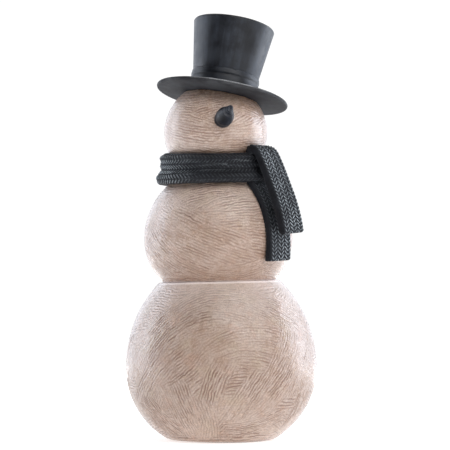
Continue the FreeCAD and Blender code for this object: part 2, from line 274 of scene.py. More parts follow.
def piece(name, points, quads, triangles, material, replaced, attributes):
    """A mesh object from arrays in mm in the CAD frame, riding on the one body in place of its CAD node."""
    mesh = bpy.data.meshes.new(name)
    quads, triangles = np.asarray(quads, np.int32), np.asarray(triangles, np.int32).reshape(-1, 3)
    mesh.vertices.add(len(points))
    mesh.vertices.foreach_set("co", (np.asarray(points) * MM).astype(np.float32).ravel())
    corners = np.concatenate([quads.ravel(), triangles.ravel()])
    mesh.loops.add(len(corners))
    mesh.loops.foreach_set("vertex_index", corners)
    starts = np.concatenate([np.arange(len(quads)) * 4, quads.size + np.arange(len(triangles)) * 3])
    mesh.polygons.add(len(starts))
    mesh.polygons.foreach_set("loop_start", starts.astype(np.int32))
    mesh.update(calc_edges=True)
    mesh.validate()
    mesh.shade_smooth()
    for key, values in attributes.items():
        layer = mesh.attributes.new(key, "FLOAT", "POINT")
        layer.data.foreach_set("value", np.asarray(values, np.float32).ravel())
    obj = linked(name, mesh)
    mesh.materials.append(material)
    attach(obj, "root")
    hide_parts(*replaced)
    return obj


def capped(name, grid, material, slot, replaced, attributes):
    """Piece from a grid whose first and last rows are shrunk to one point each."""
    rows, around = grid.shape[:2]
    inner = grid[1:-1]
    points = np.vstack([inner.reshape(-1, 3), grid[0].mean(axis=0), grid[-1].mean(axis=0)])
    quads = grid_faces(rows - 2, around)
    j = np.arange(around)
    bottom, top = (rows - 2) * around, (rows - 2) * around + 1
    last = (rows - 3) * around
    low = np.stack([np.full(around, bottom), (j + 1) % around, j], axis=1)
    high = np.stack([np.full(around, top), last + j, last + (j + 1) % around], axis=1)
    kept = {k: np.concatenate([v[1:-1].ravel(), [v[0].mean(), v[-1].mean()]]) for k, v in attributes.items()}
    return piece(name, points, quads, np.vstack([low, high]), material, replaced, kept)


def ringed(name, grid, material, slot, replaced, attributes):
    """Piece from a grid that closes on itself both ways."""
    rows, around = grid.shape[:2]
    kept = {k: v.ravel() for k, v in attributes.items()}
    quads = grid_faces(rows, around, ring=True)
    return piece(name, grid.reshape(-1, 3), quads, [], material, replaced, kept)


# ---------------- combed wood relief

def ball_point(ball, bearing, z):
    """Point and outward normal on a ball at a bearing from the face's -Y and a height."""
    half = ball["rise"] if z > ball["z"] else ball["drop"]
    rise = max(-0.99, min(0.99, (z - ball["z"]) / half))
    r = ball["radius"] * math.sqrt(1 - rise * rise)
    out = bearing_way(bearing)
    normal = out * (r / ball["radius"] ** 2) + Vector((0, 0, (z - ball["z"]) / half ** 2))
    return out * r + Vector((0, 0, z)), normal.normalized()


def front_stroke(ball, x, z, angle, half_length, half_width, bend=0.0, pitch=FRONT_PITCH):
    """A comb stroke on the front: x is mm across from the axis, and a positive angle rises to the right."""
    half = ball["rise"] if z > ball["z"] else ball["drop"]
    r = ball["radius"] * math.sqrt(1 - min(0.98, ((z - ball["z"]) / half) ** 2))
    bearing = FRONT_BEARING + math.degrees(math.asin(max(-0.97, min(0.97, x / r))))
    at, normal = ball_point(ball, bearing, z)
    a = math.radians(FRONT_BEARING)
    right = Vector((math.cos(a), math.sin(a), 0))
    toward = bearing_way(FRONT_BEARING)
    way = right * math.cos(math.radians(angle)) + Vector((0, 0, math.sin(math.radians(angle))))
    facing = max(0.3, normal.dot(toward))
    way = way - toward * (way.dot(normal) / facing)
    way = (way - normal * way.dot(normal)).normalized()
    return at, normal, way, half_length, half_width, bend, pitch


def side_strokes(ball, z_low, z_high, count_up, seed):
    """Random strokes over the sides and back, level near the seams and slanted between them."""
    rng = np.random.default_rng(seed)
    strokes = []
    for row in range(count_up):
        z = z_low + (z_high - z_low) * (row + 0.5) / count_up
        middle = 1 - abs(2 * (row + 0.5) / count_up - 1)
        radius = (ball_point(ball, 0, z)[0]).xy.length
        count = max(4, int(2 * math.pi * radius / STROKE_GAP))
        slant = (30 + 35 * rng.random()) * middle * (1 if rng.random() < 0.6 else -1)
        for i in range(count):
            bearing = 360 * (i + rng.uniform(-0.3, 0.3)) / count
            angle = slant + rng.normal(0, 14)
            turn = (bearing - FRONT_BEARING + 180) % 360 - 180
            height = z + rng.uniform(-4, 4)
            size, bend = rng.uniform(17, 26), rng.normal(0, 0.012)
            width = rng.uniform(9, 14)
            if abs(turn) < FRONT_REACH:
                continue
            at, normal = ball_point(ball, bearing, height)
            east = Vector((0, 0, 1)).cross(normal).normalized()
            north = normal.cross(east)
            way = east * math.cos(math.radians(angle)) + north * math.sin(math.radians(angle))
            strokes.append((at, normal, way, size, width, bend, rng.uniform(1.9, 2.3)))
    return strokes


def combed(points, normals, strokes, seed):
    """Depth 0..1 of fine comb grooves: level lines first, then each stroke over what lies under it."""
    flat = points.reshape(-1, 3)
    facing = normals.reshape(-1, 3)
    wobble = 0.30 * noise(flat, 12, seed) + 0.22 * noise(flat, 5, seed + 1)
    wobble += 0.15 * noise(flat, 2.2, seed + 2)
    ragged = noise(flat, 5, seed + 3)

    def grooves(index, u, v, pitch, stroke):
        """Grooves along u and a pitch apart in v, each of its own strength and broken here and there."""
        line = v / pitch + wobble[index]
        nearest = np.round(line)
        zero = np.zeros(len(index), np.int64)
        strength = scramble(nearest.astype(np.int64) + 500, zero + stroke, zero, seed)
        own = np.stack([u, nearest * 9.0, v * 0 + stroke * 40.0], axis=-1)
        t = np.abs(line - nearest + 0.20 * noise(own, 2.6, seed + 5))
        broken = ramp(noise(own, 3.2, seed + 4), -0.85, 0.1)
        return np.exp(-(t / 0.25) ** 2) * (0.55 + 0.45 * strength) * (0.25 + 0.75 * broken)

    everywhere = np.arange(len(flat))
    depth = grooves(everywhere, np.arctan2(flat[:, 0], -flat[:, 1]) * 40, flat[:, 2], LEVEL_PITCH, 0)
    for number, (at, normal, way, half_length, half_width, bend, pitch) in enumerate(strokes, 1):
        offset = flat - np.array(at)
        reach = 1.25 * (half_length + half_width)
        index = np.nonzero(((offset ** 2).sum(axis=1) < reach ** 2) & (facing @ np.array(normal) > 0.15))[0]
        if not len(index):
            continue
        offset = offset[index]
        u = offset @ np.array(way)
        v = offset @ np.array(normal.cross(way)) + bend * u * u / 2
        edge = np.maximum(np.abs(u) / half_length, np.abs(v) / half_width) + 0.13 * ragged[index]
        cover = 1 - ramp(edge, 0.70, 1.05)
        depth[index] = depth[index] * (1 - cover) + cover * grooves(index, u, v, pitch, number)
    depth *= 0.50 + 0.50 * ramp(noise(flat, 17, seed + 11) + 0.4 * ragged, -0.6, 0.35)
    return depth.reshape(points.shape[:-1])


def ball_profile(ball, z_from, z_to, spacing):
    """(radius, height) outline of a ball between two heights, evenly spaced."""
    low = math.asin(max(-1.0, (z_from - ball["z"]) / ball["drop"]))
    high = math.asin(min(1.0, (z_to - ball["z"]) / ball["rise"]))
    t = np.linspace(low, high, 2000)
    half = np.where(t < 0, ball["drop"], ball["rise"])
    return along(np.stack([ball["radius"] * np.cos(t), ball["z"] + half * np.sin(t)], axis=1), spacing)


def ball_grid(ball, z_from, z_to, strokes, depth, seed, fade_low=None, fade_high=None):
    """Combed grid of a ball's outside, and its groove depth; the relief weakens at a seam's fade height."""
    profile = ball_profile(ball, z_from, z_to, BALL_SPACING)
    around = int(round(2 * math.pi * ball["radius"] / BALL_SPACING / 4)) * 4
    grid = swung(profile, around)
    normal = grid_normals(grid)
    groove = combed(grid, normal, strokes, seed)
    strength = np.ones(grid.shape[:2])
    if fade_low is not None:
        strength *= 0.25 + 0.75 * ramp(grid[..., 2], fade_low, fade_low + SEAM_FADE)
    if fade_high is not None:
        below_seam = ramp(grid[..., 2], fade_high - 2.5 * SEAM_FADE, fade_high - 0.5 * SEAM_FADE)
        strength *= 0.25 + 0.75 * (1 - below_seam)
    lumps = 0.22 * rough(grid, 26, seed + 7)
    fine = 0.05 * noise(grid, 1.25, seed + 8) + 0.05 * noise(grid, 2.4, seed + 9)
    lift = (lumps - 0.25 - depth * groove + fine) * strength
    grid = grid + normal * lift[..., None]
    return grid, groove * strength


def bore_rows(radius, length, face_z, around, up):
    """Rows of a bore's end and wall, from the axis out; up is 1 if the bore rises from its mouth, else -1."""
    end = face_z + up * length
    return swung(np.array([(0, end), (radius, end), (radius, face_z)]), around)


# ---------------- materials

def node(tree, kind, values=None, **settings):
    """A shader node with its settings, and its inputs as numbers or links."""
    made = tree.nodes.new(kind)
    for key, value in settings.items():
        setattr(made, key, value)
    for key, value in (values or {}).items():
        if isinstance(value, bpy.types.NodeSocket):
            tree.links.new(value, made.inputs[key])
        else:
            made.inputs[key].default_value = value
    return made


def painted(tree, shader, tint, roughness):
    """Give the shader its colour and its roughness."""
    tree.links.new(tint, shader.inputs["Base Color"])
    tree.links.new(roughness, shader.inputs["Roughness"])


def new_material(name):
    """Material with an empty Principled shader, and its object coordinates."""
    material = bpy.data.materials.new(name)
    material.use_nodes = True
    tree = material.node_tree
    shader = tree.nodes["Principled BSDF"]
    where = node(tree, "ShaderNodeTexCoord").outputs["Object"]
    return material, tree, shader, where


def mixed(tree, factor, a, b):
    """Colour mix of a and b."""
    return node(tree, "ShaderNodeMix", {0: factor, 6: a, 7: b}, data_type="RGBA").outputs[2]


def maths(tree, operation, *values, clamp=False):
    """Maths node on numbers or links."""
    numbered = dict(enumerate(values))
    return node(tree, "ShaderNodeMath", numbered, operation=operation, use_clamp=clamp).outputs[0]


def mapped(tree, value, low, high, to_low=0.0, to_high=1.0):
    """Value rescaled from low..high to to_low..to_high, clamped."""
    values = {"Value": value, "From Min": low, "From Max": high, "To Min": to_low, "To Max": to_high}
    return node(tree, "ShaderNodeMapRange", values).outputs[0]


def cloud(tree, where, size_mm, detail=3.0, roughness=0.55, distortion=0.0):
    """Noise with features about size_mm across."""
    values = {"Vector": where, "Scale": 1000.0 / size_mm, "Detail": detail, "Roughness": roughness,
              "Distortion": distortion}
    return node(tree, "ShaderNodeTexNoise", values).outputs[0]


def moved_aside(tree, where):
    """Coordinates moved aside, for a second pattern that doesn't follow the first."""
    return node(tree, "ShaderNodeMapping", {"Vector": where, "Location": (0.31, 0.17, 0.53)}).outputs[0]


def attribute(tree, name):
    """A number stored on the mesh's points."""
    return node(tree, "ShaderNodeAttribute", attribute_name=name).outputs["Fac"]


def shaded(tint, shade):
    """Tint times a shade, channel by channel, as an opaque colour."""
    return tuple(level * factor for level, factor in zip(tint, shade)) + (1,)


def bumped(tree, shader, height, depth_mm, strength=1.0):
    """Fine relief under the shader's surface."""
    made = node(tree, "ShaderNodeBump", {"Height": height, "Distance": depth_mm * MM, "Strength": strength})
    tree.links.new(made.outputs[0], shader.inputs["Normal"])


def whitewashed_wood():
    """Pale limewash over brown wood: brown in the grooves, chalky where worn, blotchy and glossy; the chalky
    colour also serves as painted light, and the browner colour as painted shade.
    """
    material, tree, shader, where = new_material("whitewashed_wood")
    groove, seam, shade_and_stain_level = (attribute(tree, key) for key in ("groove", "wear_and_painted_light", "shade_and_stain"))
    blotch = cloud(tree, where, 22, 3)
    patch = cloud(tree, where, 7, 4, 0.6)
    grain = cloud(tree, where, 1.2, 2, 0.75)
    tint = mixed(tree, mapped(tree, blotch, 0.38, 0.62), (0.5790, 0.4080, 0.3060, 1),
                 (0.6200, 0.4660, 0.3720, 1))
    tint = mixed(tree, mapped(tree, patch, 0.40, 0.66, 0.0, 0.55), tint, (0.6900, 0.5620, 0.5000, 1))
    rusty = mapped(tree, cloud(tree, where, 11, 2), 0.54, 0.72, 0.0, 0.60)
    tint = mixed(tree, rusty, tint, (0.5746, 0.3349, 0.2261, 1))
    tan = mapped(tree, cloud(tree, moved_aside(tree, where), 16, 2), 0.54, 0.72, 0.0, 0.60)
    tint = mixed(tree, tan, tint, (0.5848, 0.4518, 0.3172, 1))
    filled = maths(tree, "MULTIPLY", groove, mapped(tree, patch, 0.3, 0.7, 1.6, 1.15), clamp=True)
    tint = mixed(tree, filled, tint, (0.2050, 0.0980, 0.0570, 1))
    # Browner paint: painted shade on the middle ball's lower half and in a line under the hat brim; also
    # browner in a band round the lower ball and on the head's lower part, and dirtied at the foot.
    browned_by_shade_and_stain = maths(tree, "MULTIPLY", shade_and_stain_level, mapped(tree, blotch, 0.35, 0.65, 0.7, 1.0))
    tint = mixed(tree, browned_by_shade_and_stain, tint, (0.3500, 0.2060, 0.1330, 1))
    tint = mixed(tree, mapped(tree, grain, 0.36, 0.64, 0.0, 0.52), tint, (0.2525, 0.1520, 0.1070, 1))
    # Chalky pale paint mixed in by seam: worn paint at the seam's edges, which is also a painted highlight
    # there, and painted light on the lower ball's top, the middle ball's top and the head's left side.
    tint = mixed(tree, seam, tint, (0.9292, 0.8174, 0.7720, 1))
    matt_grooves = maths(tree, "MULTIPLY", groove, 0.2)
    painted(tree, shader, tint, maths(tree, "ADD", mapped(tree, patch, 0.3, 0.7, 0.22, 0.36), matt_grooves))
    shader.inputs["Specular IOR Level"].default_value = 0.8
    shader.inputs["Coat Weight"].default_value = 0.55
    shader.inputs["Coat Roughness"].default_value = 0.14
    height = maths(tree, "ADD", maths(tree, "MULTIPLY", grain, 0.8), cloud(tree, where, 0.6, 1, 0.6))
    bumped(tree, shader, height, 0.30, 1.0)
    return material


def black_paint(gloss, brushing, matt=0.0, shade=(1.0, 1.0, 1.0)):
    """Brushed blue-black paint on wood, worn grey on edges, and painted pale grey where a highlight is
    painted on.

    gloss is the specular level, brushing the streaks' strength, matt extra roughness, and shade a factor on
    the paint's tint; above one it makes a lighter copy of the paint, as painted light.
    """
    material, tree, shader, where = new_material("black_paint")
    wear_and_painted_light, streak = attribute(tree, "wear_and_painted_light"), attribute(tree, "streak")
    cloudy = cloud(tree, where, 14, 4, 0.6)
    speck = cloud(tree, where, 0.9, 3, 0.7)
    tint = mixed(tree, mapped(tree, cloudy, 0.38, 0.64), shaded((0.0045, 0.0052, 0.0080), shade),
                 shaded((0.0115, 0.0140, 0.0205), shade))
    uneven = mapped(tree, cloudy, 0.40, 0.60, 0.25 * brushing, brushing)
    brushed = maths(tree, "MULTIPLY", mapped(tree, streak, 0.42, 0.80), uneven)
    tint = mixed(tree, brushed, tint, (0.028, 0.035, 0.050, 1))
    # Pale grey where the paint is worn on edges, and also where a highlight is painted on, along the brim's
    # front edge.
    rubbed_and_highlit = maths(tree, "MULTIPLY", wear_and_painted_light, mapped(tree, speck, 0.35, 0.65, 0.35, 1.0), clamp=True)
    tint = mixed(tree, rubbed_and_highlit, tint, (0.42, 0.43, 0.445, 1))
    dragged = maths(tree, "ADD", cloudy, maths(tree, "MULTIPLY", streak, 0.2))
    painted(tree, shader, tint, mapped(tree, dragged, 0.40, 0.80, 0.36 + matt, 0.58 + matt))
    shader.inputs["Specular IOR Level"].default_value = gloss
    height = maths(tree, "ADD", maths(tree, "MULTIPLY", streak, 0.5), maths(tree, "MULTIPLY", speck, 0.5))
    bumped(tree, shader, height, 0.14, 0.8)
    return material


def charcoal_paint():
    """Blue-charcoal paint on the carved knit, dry-brushed pale grey in broken dots on the crests."""
    material, tree, shader, where = new_material("charcoal_paint")
    crest = attribute(tree, "crest")
    cloudy = cloud(tree, where, 9, 3)
    speck = cloud(tree, where, 0.8, 2, 0.7)
    tint = mixed(tree, mapped(tree, cloudy, 0.35, 0.68), (0.0050, 0.0055, 0.0080, 1),
                 (0.0110, 0.0120, 0.0158, 1))
    brushed = maths(tree, "MULTIPLY", crest, mapped(tree, speck, 0.40, 0.60, 0.22, 1.25), clamp=True)
    tint = mixed(tree, brushed, tint, (0.420, 0.465, 0.495, 1))
    painted(tree, shader, tint, mapped(tree, speck, 0.3, 0.7, 0.52, 0.72))
    shader.inputs["Specular IOR Level"].default_value = 0.20
    bumped(tree, shader, maths(tree, "ADD", speck, cloud(tree, where, 0.3, 2)), 0.14, 0.8)
    return material


def dowel_wood():
    """Plain beech: pale, with short darker flecks along the dowel."""
    material, tree, shader, where = new_material("dowel_wood")
    stretched = node(tree, "ShaderNodeMapping", {"Vector": where, "Scale": (1.0, 1.0, 0.12)}).outputs[0]
    fleck = cloud(tree, stretched, 0.9, 4, 0.7)
    tint = mixed(tree, mapped(tree, fleck, 0.42, 0.66), (0.60, 0.41, 0.25, 1), (0.42, 0.25, 0.13, 1))
    painted(tree, shader, tint, mapped(tree, fleck, 0.3, 0.7, 0.5, 0.7))
    bumped(tree, shader, fleck, 0.08, 0.7)
    return material


def dark_felt():
    """Matted dark grey felt."""
    material, tree, shader, where = new_material("felt")
    fibre = cloud(tree, where, 0.8, 5, 0.75, 1.5)
    matted = cloud(tree, where, 5, 3)
    tint = mixed(tree, mapped(tree, fibre, 0.36, 0.64), (0.028, 0.028, 0.030, 1), (0.085, 0.084, 0.088, 1))
    tint = mixed(tree, mapped(tree, matted, 0.4, 0.7, 0.0, 0.4), tint, (0.05, 0.047, 0.045, 1))
    painted(tree, shader, tint, mapped(tree, fibre, 0.3, 0.7, 0.86, 0.97))
    shader.inputs["Sheen Weight"].default_value = 0.4
    shader.inputs["Sheen Roughness"].default_value = 0.5
    bumped(tree, shader, fibre, 0.35)
    return material


def pin_steel():
    """Drawn steel pins with fine scratches."""
    material, tree, shader, where = new_material("pin_steel")
    scratch = cloud(tree, where, 0.5, 4, 0.7)
    tint = mixed(tree, mapped(tree, scratch, 0.35, 0.7), (0.42, 0.42, 0.43, 1), (0.30, 0.28, 0.26, 1))
    painted(tree, shader, tint, mapped(tree, scratch, 0.3, 0.7, 0.28, 0.45))
    shader.inputs["Metallic"].default_value = 1.0
    bumped(tree, shader, scratch, 0.03)
    return material


WOOD = whitewashed_wood()
CHARCOAL = charcoal_paint()
BLACK = black_paint(0.46, 1.0)
# The brim's paint is a lighter, matter copy of the black paint: painted light standing in for the floor's
# glow reflected under the brim.
BLACK_BRIM_PAINTED_LIGHT = black_paint(0.07, 0.3, 0.22, (4.8, 4.0, 2.9))
BLACK_NOSE = black_paint(0.22, 0.6)

# CAD pieces that keep their own shape, by the material that they get.
CARRIED = [
    (dowel_wood(), ("waist_dowel", "neck_dowel", "hat_dowel", "nose_peg")),
    (dark_felt(), ("felt_foot",)),
    (pin_steel(), ("front_tail_pin", "back_tail_pin")),
]
for material, node_names in CARRIED:
    for node_name in node_names:
        mesh = frame["nodes"][node_name].data
        mesh.materials.clear()
        mesh.materials.append(material)


# ---------------- three balls

# Front strokes are listed as x, height, angle, half length, half width and bend.

def ball_piece(name, node_name, parts, outside, fields):
    """A ball from stacked grids; the fields hold on its outside, and are 0 in the bores and the recess."""
    kept = {key: np.concatenate([values if part is outside else np.zeros(part.shape[:2]) for part in parts])
            for key, values in fields.items()}
    return capped(name, np.concatenate(parts), WOOD, "whitewashed_wood", [node_name], kept)


def lower_ball():
    """Lower ball with a level foot, a felt recess below and a dowel bore above."""
    front = [(0, 94, 2, 62, 22, 0.015), (-6, 80, 3, 54, 17, 0.016), (24, 72, -2, 40, 15, 0.016),
             (-46, 70, 54, 36, 15, 0.006), (50, 86, -42, 28, 12, 0.006), (-34, 54, 44, 30, 13, 0.010),
             (14, 60, 4, 24, 10, 0.02), (-48, 38, 62, 28, 15, 0.0), (-22, 44, 40, 24, 12, -0.012),
             (52, 54, 74, 26, 12, 0.004), (4, 46, 12, 20, 9, 0.03), (-6, 38, 72, 24, 10, 0.012),
             (34, 36, 50, 44, 15, -0.005), (44, 48, 58, 26, 10, 0.0), (12, 26, 54, 30, 10, 0.008),
             (-26, 22, -66, 26, 14, 0.010), (-10, 16, -80, 20, 9, 0.02), (-44, 18, -48, 20, 13, 0.0),
             (22, 12, 12, 26, 9, 0.0), (54, 24, 66, 22, 12, 0.0)]
    strokes = side_strokes(LOWER, 4, 106, 7, 11) + [front_stroke(LOWER, *stroke) for stroke in front]
    grid, groove = ball_grid(LOWER, -2.4, WAIST_Z + 3.4, strokes, 0.42, 1, fade_high=WAIST_Z - 0.4)
    around = grid.shape[1]
    rim_height = grid[..., 2].copy()
    grid[..., 2] = soft_min(grid[..., 2], WAIST_Z, 0.5)
    # Pale band along the lower ball's top edge at the seam: partly worn paint, partly a painted highlight
    # that lifts the seam's shade.
    wear_and_painted_light = 0.9 * ramp(rim_height, WAIST_Z - 1.9, WAIST_Z - 0.5)
    grid = upright(grid)
    grid[..., 2] = soft_max(grid[..., 2], FOOT_Z, 1.6)
    # Painted light: the lower ball's top, in the shade of the middle ball above it, is painted paler.
    wear_and_painted_light = wear_and_painted_light + 0.28 * ramp(grid[..., 2] + 4 * noise(grid, 13, 14), 82, 106)
    # Darker and browner in a band round the lower ball's middle height, and dirtied just above the foot.
    belly = ramp(grid[..., 2] + 4 * noise(grid, 14, 6), 12, 30)
    belly = belly * (1 - ramp(grid[..., 2] + 5 * noise(grid, 14, 6), 55, 90))
    rubbed_foot = (1 - ramp(grid[..., 2], FOOT_Z + 1.0, FOOT_Z + 3.6)) * ramp(noise(grid, 7, 5), -0.5, 0.3)
    shade_and_stain = np.maximum(0.20 * belly * (0.75 + 0.25 * noise(grid, 22, 8)), 0.6 * rubbed_foot)
    recess = swung(np.array([(0, FELT_TOP), (RECESS_RADIUS, FELT_TOP), (RECESS_RADIUS, FOOT_Z)]), around)
    bore = upright(bore_rows(*WAIST_BORE, WAIST_Z, around, -1)[::-1])
    return ball_piece("snow_ball_lower", "lower_ball", [recess, grid, bore], grid,
                      {"groove": groove, "wear_and_painted_light": wear_and_painted_light, "shade_and_stain": shade_and_stain})


def middle_ball():
    """Middle ball with a flat and a bore at each end."""
    front = [(0, 176, 2, 50, 12, 0.004), (4, 163, 16, 38, 11, 0.006), (-26, 153, -42, 24, 11, -0.010),
             (10, 152, 2, 34, 10, -0.006), (-2, 139, -23, 46, 15, -0.002), (8, 128, -20, 46, 13, 0.002),
             (-8, 117, -13, 50, 10, -0.006), (38, 140, -12, 22, 15, 0.0), (-42, 130, -48, 20, 13, 0.0)]
    strokes = side_strokes(MIDDLE, 112, 182, 5, 12) + [front_stroke(MIDDLE, *stroke) for stroke in front]
    grid, groove = ball_grid(MIDDLE, WAIST_Z - 1.6, NECK_Z + 1.6, strokes, 0.44, 2, fade_low=WAIST_Z + 0.2)
    around = grid.shape[1]
    edge_height = grid[..., 2].copy()
    grid[..., 2] = soft_min(soft_max(grid[..., 2], WAIST_Z, 0.15), NECK_Z, 0.9)
    # Pale band along the middle ball's bottom edge at the seam: partly worn paint, partly a painted highlight
    # that lifts the seam's shade.
    wear_and_painted_light = 0.9 * (1 - ramp(edge_height, WAIST_Z + 0.3, WAIST_Z + 1.1))
    # Painted light: the middle ball's top, in the scarf's shade, is painted paler.
    wear_and_painted_light = wear_and_painted_light + 0.14 * ramp(grid[..., 2] + 4 * noise(grid, 14, 9), 144, 166)
    # Painted shade: the middle ball's lower half, turned down towards the lower ball, is painted browner.
    shade_and_stain = 0.50 * (1 - ramp(grid[..., 2] + 3 * noise(grid, 12, 6), 111, 158))
    grid = upright(grid)
    low = upright(bore_rows(*WAIST_BORE, WAIST_Z, around, 1))
    high = upright(bore_rows(*NECK_BORE, NECK_Z, around, -1)[::-1])
    return ball_piece("snow_ball_middle", "middle_ball", [low, grid, high], grid,
                      {"groove": groove, "wear_and_painted_light": wear_and_painted_light, "shade_and_stain": shade_and_stain})


def head_ball():
    """Head with a flat and a bore under it, and a tipped flat above for the hat."""
    front = [(0, 228, 12, 42, 14, 0.004), (-20, 221, -20, 22, 10, 0.0), (-26, 230, -6, 16, 8, 0.0),
             (22, 222, 34, 20, 11, -0.010), (12, 231, 30, 16, 7, 0.0), (26, 230, -24, 14, 8, 0.0),
             (0, 206, 0, 46, 13, -0.004), (-4, 196, 1, 44, 8, 0.0), (26, 209, 6, 22, 10, 0.0)]
    strokes = side_strokes(HEAD, 188, 242, 4, 13)
    strokes += [front_stroke(HEAD, *stroke, pitch=HEAD_PITCH) for stroke in front]
    grid, groove = ball_grid(HEAD, NECK_Z - 1.6, HEAD["z"] + HEAD["rise"], strokes, 0.33, 3)
    around = grid.shape[1]
    grid[..., 2] = soft_max(grid[..., 2], NECK_Z, 0.9)
    above = (grid - np.array(HAT_SEAT)) @ np.array(HAT_AXIS)
    pushed = above - soft_min(above, -0.02, 0.5)
    grid = grid - pushed[..., None] * np.array(HAT_AXIS)
    # Browner towards the bottom of the head.
    shade_and_stain = 0.30 * (1 - ramp(grid[..., 2] + 3 * noise(grid, 12, 6), 190, 212))
    # Painted shade: a brown line on the head just under the hat brim, where the two meet.
    shade_and_stain = np.maximum(shade_and_stain, ramp(above + 0.4 * noise(grid, 5, 7), -1.6, -0.5))
    # Painted light: the head's side towards -X, lit by the left softbox, is painted paler.
    wear_and_painted_light = 0.06 * ramp(-grid[..., 0], 4, 22)
    grid = upright(grid)
    low = upright(bore_rows(*NECK_BORE, NECK_Z, around, 1))
    return ball_piece("snow_ball_head", "head_ball", [low, grid], grid,
                      {"groove": 0.92 * groove, "wear_and_painted_light": wear_and_painted_light, "shade_and_stain": shade_and_stain})


# ---------------- hat and nose

def brush_streaks(grid, across, seed):
    """Soft brush streaks 0..1 that run along a surface: across is the coordinate that they vary with."""
    bands = np.stack([across, grid[..., 2] * 0.06, across * 0], axis=-1)
    return 0.5 + 0.5 * rough(bands, 2.4, seed)


def hat_part(name, profile, around, closed, node_name, origin, wear_and_painted_light, seed, lumps, streaks, paint=BLACK):
    """A turned part of the hat, a little lumpy, placed on the hat's axis at a height above the seat.

    closed says that the profile's last point joins its first.  Streaks run "upward" or "around".
    """
    grid = swung(profile, around)
    normal = grid_normals(grid)
    angle = np.linspace(0, 2 * math.pi, around, endpoint=False)[None, :] + 0 * grid[..., 0]
    radius = np.hypot(grid[..., 0], grid[..., 1])
    across = angle * 24 if streaks == "upward" else radius * 1.4 + grid[..., 2]
    ring = np.stack([np.cos(angle) * 8, np.sin(angle) * 8, across * 0], axis=-1)
    streak = brush_streaks(grid, across + 2.0 * noise(ring, 5, seed), seed)
    if streaks == "upward":
        lid = ramp(grid[..., 2], CROWN_HEIGHT - 0.6, CROWN_HEIGHT + 0.1)
        streak = streak * (1 - lid) + brush_streaks(grid[..., [0, 2, 1]], grid[..., 0], seed + 6) * lid
    grid = grid + normal * (lumps * rough(grid, 18, seed + 3) - lumps)[..., None]
    # On the brim this also carries the painted highlight along the front edge.
    worn = wear_and_painted_light(grid) * (0.6 + 0.4 * noise(grid, 5, seed + 4))
    placed = upright(turned(grid, HAT_AXIS, HAT_SEAT + HAT_AXIS * origin))
    attributes = {"wear_and_painted_light": np.clip(worn, 0, 1), "streak": streak}
    make = ringed if closed else capped
    return make(name, placed, paint, "black_painted_wood", [node_name], attributes)


def hat_brim():
    """Round-edged brim with a shallow belly under it, with a painted highlight along the top of its front
    edge.
    """
    half, straight = BRIM_THICK / 2, BRIM_RADIUS - BRIM_THICK / 2
    turn = np.linspace(-math.pi / 2, math.pi / 2, 15)
    rim = [(straight + half * math.cos(t), half + half * math.sin(t)) for t in turn]
    brim = np.vstack([evenly([(BRIM_BORE, -BRIM_BELLY), (BELLY_RADIUS, -BRIM_BELLY)], 1.2)[:-1],
                      evenly([(BELLY_RADIUS, -BRIM_BELLY), (straight, 0)], 0.7)[:-1], rim,
                      evenly([(straight, BRIM_THICK), (BRIM_BORE, BRIM_THICK)], 0.8)[1:],
                      evenly([(BRIM_BORE, BRIM_THICK), (BRIM_BORE, -BRIM_BELLY)], 1.4)[1:-1]])

    def brim_wear(grid):
        radius = np.hypot(grid[..., 0], grid[..., 1])
        rim_wear_and_highlight = 0.2 * ramp(radius, BRIM_RADIUS - 1.4, BRIM_RADIUS) * ramp(noise(grid, 9, 71), -0.4, 0.5)
        turn = np.degrees(np.arctan2(grid[..., 0], -grid[..., 1])) - FRONT_BEARING
        # Painted highlight: a pale line along the top of the brim's front edge, where light from above
        # catches it.
        front_edge_highlight = 3.2 * ramp(grid[..., 2], 1.7, 2.3) * ramp(radius, BRIM_RADIUS - 2.2, BRIM_RADIUS - 1.4)
        rim_wear_and_highlight = np.maximum(rim_wear_and_highlight, front_edge_highlight * np.exp(-((turn - 6) / 28.0) ** 2))
        return rim_wear_and_highlight + 0.04 * ramp(radius, 26, 45) * ramp(noise(grid, 14, 72), -0.1, 0.9)

    hat_part("top_hat_brim", brim, 420, True, "hat_brim", BRIM_BELLY, brim_wear, 21, 0.12, "around",
             BLACK_BRIM_PAINTED_LIGHT)


def hat_crown():
    """Flared crown with a rounded upper edge and a slightly domed lid."""
    round_size, dome = 2.4, 1.0
    edge = [(CROWN_TOP - 0.25 - round_size * (1 - math.cos(a)), CROWN_HEIGHT - round_size * (1 - math.sin(a)))
            for a in np.linspace(0, math.pi / 2, 12)]
    lid_radius = edge[-1][0]
    top = [(r, CROWN_HEIGHT + dome * (1 - (r / lid_radius) ** 2)) for r in np.linspace(lid_radius, 0, 26)[1:]]
    wall = evenly([(CROWN_FOOT, 0), edge[0]], 0.7)
    wall[:, 0] = np.minimum(wall[:, 0], CROWN_FOOT + CROWN_SLOPE * wall[:, 1])
    crown = np.vstack([[(0, 0)], wall, edge[1:], top])

    def crown_wear(grid):
        high = ramp(grid[..., 2], CROWN_HEIGHT - 2.2, CROWN_HEIGHT - 0.4)
        rim_ring = high * (1 - ramp(grid[..., 2], CROWN_HEIGHT - 0.1, CROWN_HEIGHT + 0.5))
        return 0.25 * rim_ring * ramp(noise(grid, 8, 73), -0.3, 0.6)

    hat_part("top_hat_crown", crown, 300, False, "hat_crown", BRIM_BELLY + BRIM_THICK, crown_wear, 22, 0.10,
             "upward")


